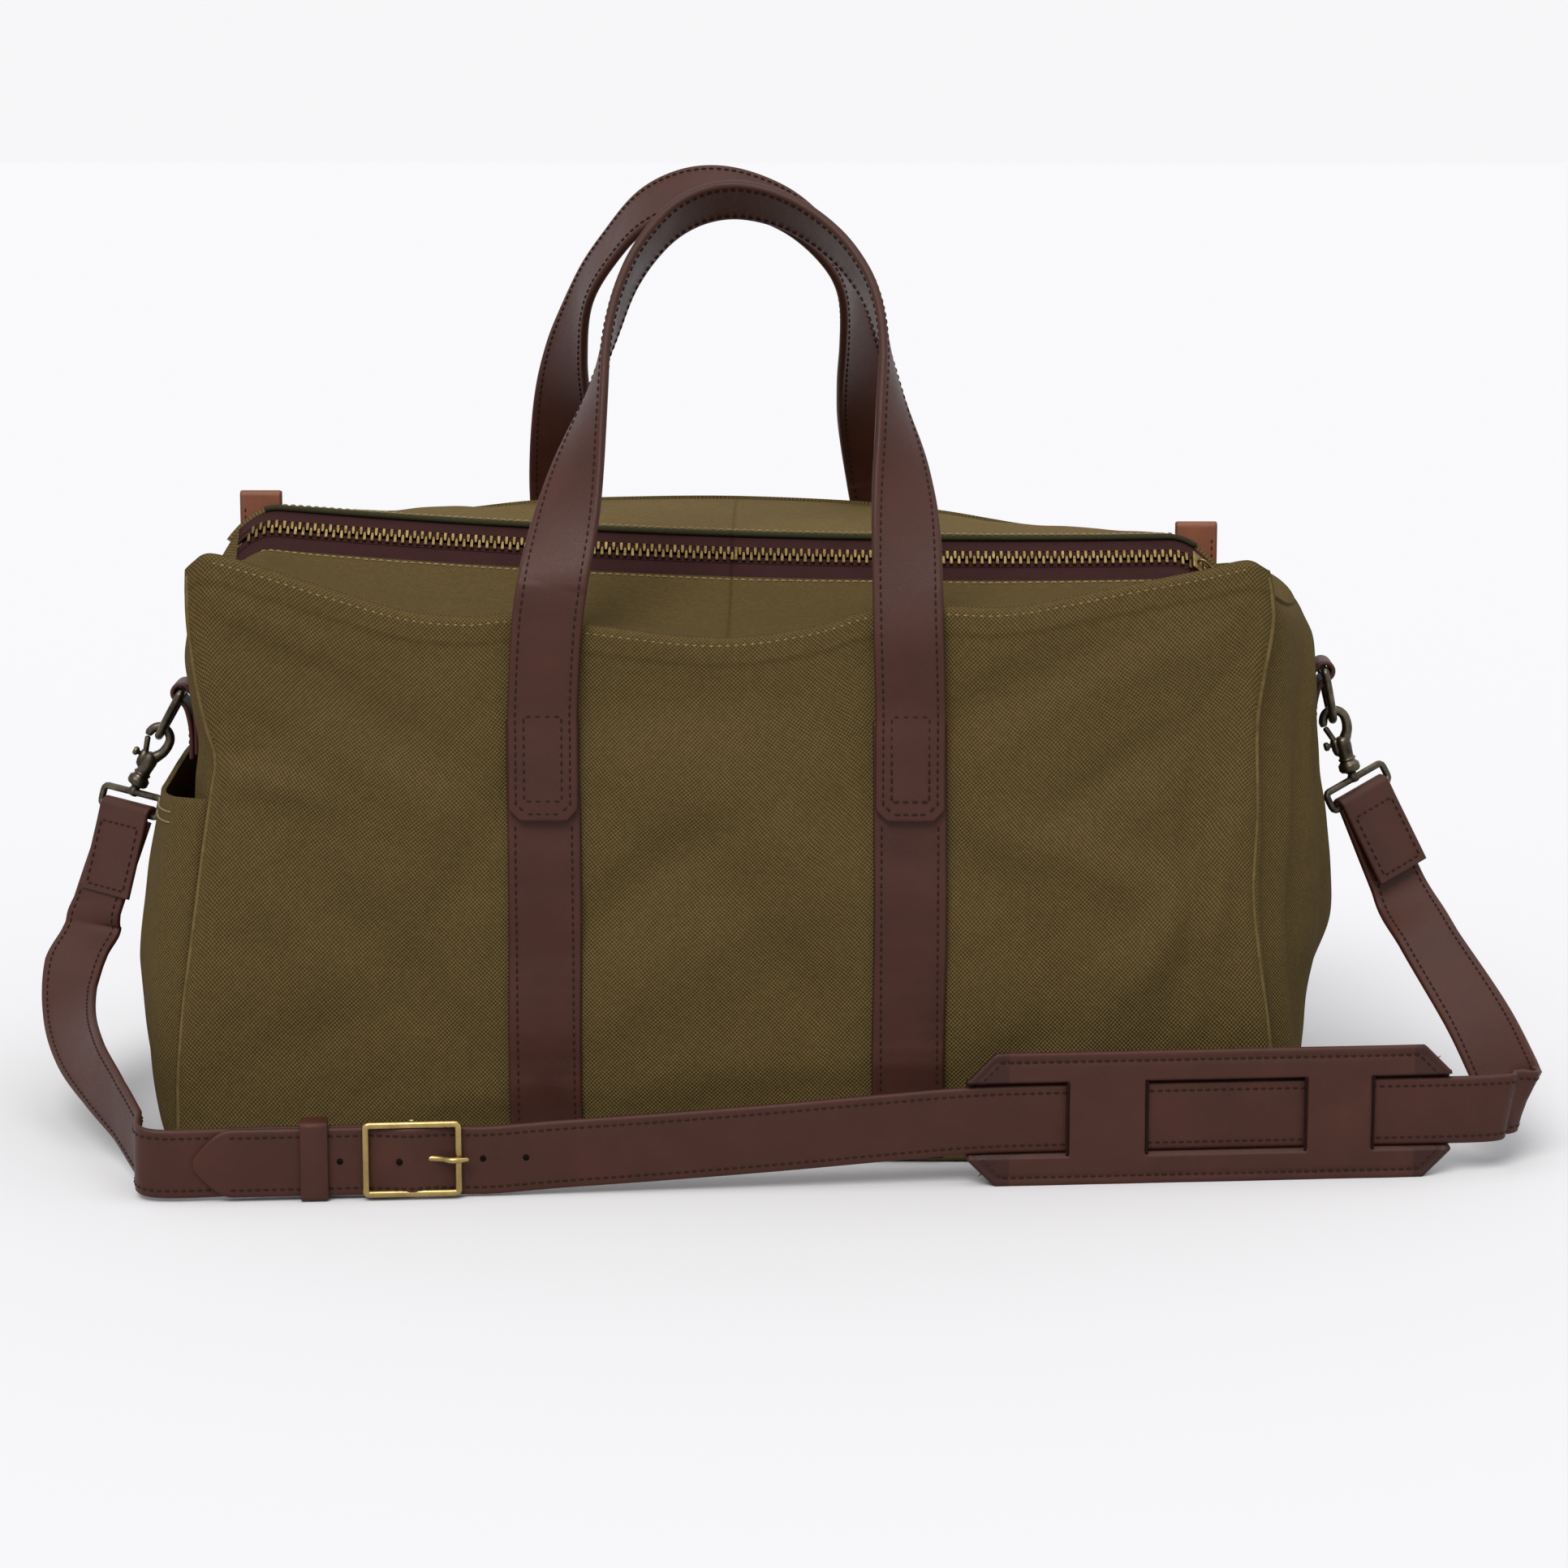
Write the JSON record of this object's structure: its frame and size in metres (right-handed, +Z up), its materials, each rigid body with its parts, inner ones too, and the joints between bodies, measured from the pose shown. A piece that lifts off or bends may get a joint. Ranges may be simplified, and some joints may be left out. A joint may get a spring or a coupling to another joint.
{
  "type": "duffel bag",
  "caption": "Boxy canvas duffel bag with leather carrying handles, a metal zip, an end pocket and a clip-on leather shoulder strap with buckle and pad.",
  "frame": {"origin": "on the floor under the middle of the base", "axes": "+X to the right along the bag's length, +Y from front to back, +Z up"},
  "size_m": [0.6693, 0.3121, 0.4327],
  "materials": {
    "canvas": "coarse plain-weave cotton canvas, matt, olive khaki",
    "leather": "dark brown oiled leather with stitched edges",
    "tan_leather": "smooth tan leather",
    "lining": "thin cotton lining",
    "board": "stiff base board",
    "zip_tape": "burgundy twill tape",
    "zip_metal": "antique brass teeth",
    "hook_metal": "dark antique brass",
    "buckle_metal": "satin brass"
  },
  "bodies": {
    "bag": {"front_panel": "canvas", "back_panel": "canvas", "end_panel_left": "canvas", "end_panel_right": "canvas", "base_panel": "canvas", "side_pocket": "canvas", "top_gusset_left": "canvas", "top_gusset_right": "canvas", "base_board": "board", "lining": "lining", "front_strap_left": "leather", "front_handle_end_left": "leather", "front_strap_right": "leather", "front_handle_end_right": "leather", "back_strap_left": "leather", "back_handle_end_left": "leather", "back_strap_right": "leather", "back_handle_end_right": "leather", "zip_tab_left": "tan_leather", "zip_tab_right": "tan_leather", "chape_left": "leather", "strap_riser_left": "leather", "chape_right": "leather", "strap_riser_right": "leather", "strap_long": "leather", "strap_short": "leather", "buckle_frame": "buckle_metal"},
    "front_handle": {"front_handle": "leather"},
    "back_handle": {"back_handle": "leather"},
    "front_flap": {"front_flap": "canvas", "zip_tape_front": "zip_tape", "zip_teeth_front": "zip_metal"},
    "back_flap": {"back_flap": "canvas", "zip_tape_back": "zip_tape", "zip_teeth_back": "zip_metal"},
    "zip_slider": {"zip_slider": "zip_metal"},
    "zip_pull": {"zip_pull": "zip_metal"},
    "left_hanger": {"ring_left": "hook_metal", "eye_left": "hook_metal", "strap_end_left": "leather"},
    "left_hook": {"hook_left": "hook_metal"},
    "left_bolt": {"bolt_left": "hook_metal"},
    "right_hanger": {"ring_right": "hook_metal", "eye_right": "hook_metal", "strap_end_right": "leather"},
    "right_hook": {"hook_right": "hook_metal"},
    "right_bolt": {"bolt_right": "hook_metal"},
    "buckle_prong": {"buckle_prong": "buckle_metal"},
    "strap_keeper": {"strap_keeper": "leather"},
    "shoulder_pad": {"shoulder_pad": "leather"}
  },
  "joints": [
    {"name": "front_handle_fold", "type": "hinge", "parent": "bag", "child": "front_handle", "pos_m": [0, -0.1245, 0.205], "axis": [1, 0, 0], "range_deg": [0, 110]},
    {"name": "back_handle_fold", "type": "hinge", "parent": "bag", "child": "back_handle", "pos_m": [0, 0.1245, 0.205], "axis": [-1, 0, 0], "range_deg": [0, 110]},
    {"name": "front_flap_open", "type": "hinge", "parent": "bag", "child": "front_flap", "pos_m": [-0.00041, -0.1162, 0.24351], "axis": [0.9994, 0, -0.034], "range_deg": [0, 42]},
    {"name": "back_flap_open", "type": "hinge", "parent": "bag", "child": "back_flap", "pos_m": [0.00041, 0.1162, 0.26749], "axis": [-0.9994, 0, 0.034], "range_deg": [0, 42]},
    {"name": "zip_slide", "type": "slide", "parent": "bag", "child": "zip_slider", "axis": [-0.9994, 0, 0.034], "range_m": [0, 0.42]},
    {"name": "zip_pull_swing", "type": "hinge", "parent": "zip_slider", "child": "zip_pull", "pos_m": [0.21516, -0.00255, 0.25072], "axis": [0.0241, 0.7071, 0.7067], "range_deg": [-120, 0]},
    {"name": "left_hanger_swing", "type": "hinge", "parent": "bag", "child": "left_hanger", "pos_m": [-0.2546, 0, 0.192], "axis": [0, 1, 0], "range_deg": [-1, 20], "deforming": ["strap_riser_left"]},
    {"name": "left_hook_swivel", "type": "hinge", "parent": "left_hanger", "child": "left_hook", "pos_m": [-0.27578, 0, 0.1501], "axis": [-0.493, 0, -0.87], "range_deg": [-20, 20]},
    {"name": "left_bolt_slide", "type": "slide", "parent": "left_hook", "child": "left_bolt", "axis": [-0.493, 0, -0.87], "range_m": [0, 0.004], "stiffness_N_per_m": 150, "springref_m": -0.002},
    {"name": "right_hanger_swing", "type": "hinge", "parent": "bag", "child": "right_hanger", "pos_m": [0.2728, 0, 0.203], "axis": [0, -1, 0], "range_deg": [-1, 20], "deforming": ["strap_riser_right"]},
    {"name": "right_hook_swivel", "type": "hinge", "parent": "right_hanger", "child": "right_hook", "pos_m": [0.28619, 0, 0.15813], "axis": [0.2846, 0, -0.9586], "range_deg": [-20, 20]},
    {"name": "right_bolt_slide", "type": "slide", "parent": "right_hook", "child": "right_bolt", "axis": [0.2846, 0, -0.9586], "range_m": [0, 0.004], "stiffness_N_per_m": 150, "springref_m": -0.002},
    {"name": "buckle_prong_swing", "type": "hinge", "parent": "bag", "child": "buckle_prong", "pos_m": [-0.13441, -0.18247, 0.0192], "axis": [0, 0, 1], "range_deg": [-120, 0]},
    {"name": "keeper_slide", "type": "slide", "parent": "bag", "child": "strap_keeper", "axis": [0.9959, 0.0906, 0], "range_m": [-0.03, 0.014]},
    {"name": "pad_slide", "type": "slide", "parent": "bag", "child": "shoulder_pad", "axis": [0.9959, 0.0906, 0], "range_m": [-0.003, 0.02]}
  ],
  "couplings": [
    {"joint": "back_flap_open", "follows": "front_flap_open", "ratio": 1},
    {"joint": "zip_slide", "follows": "front_flap_open", "m_per_rad": 0.57238}
  ]
}
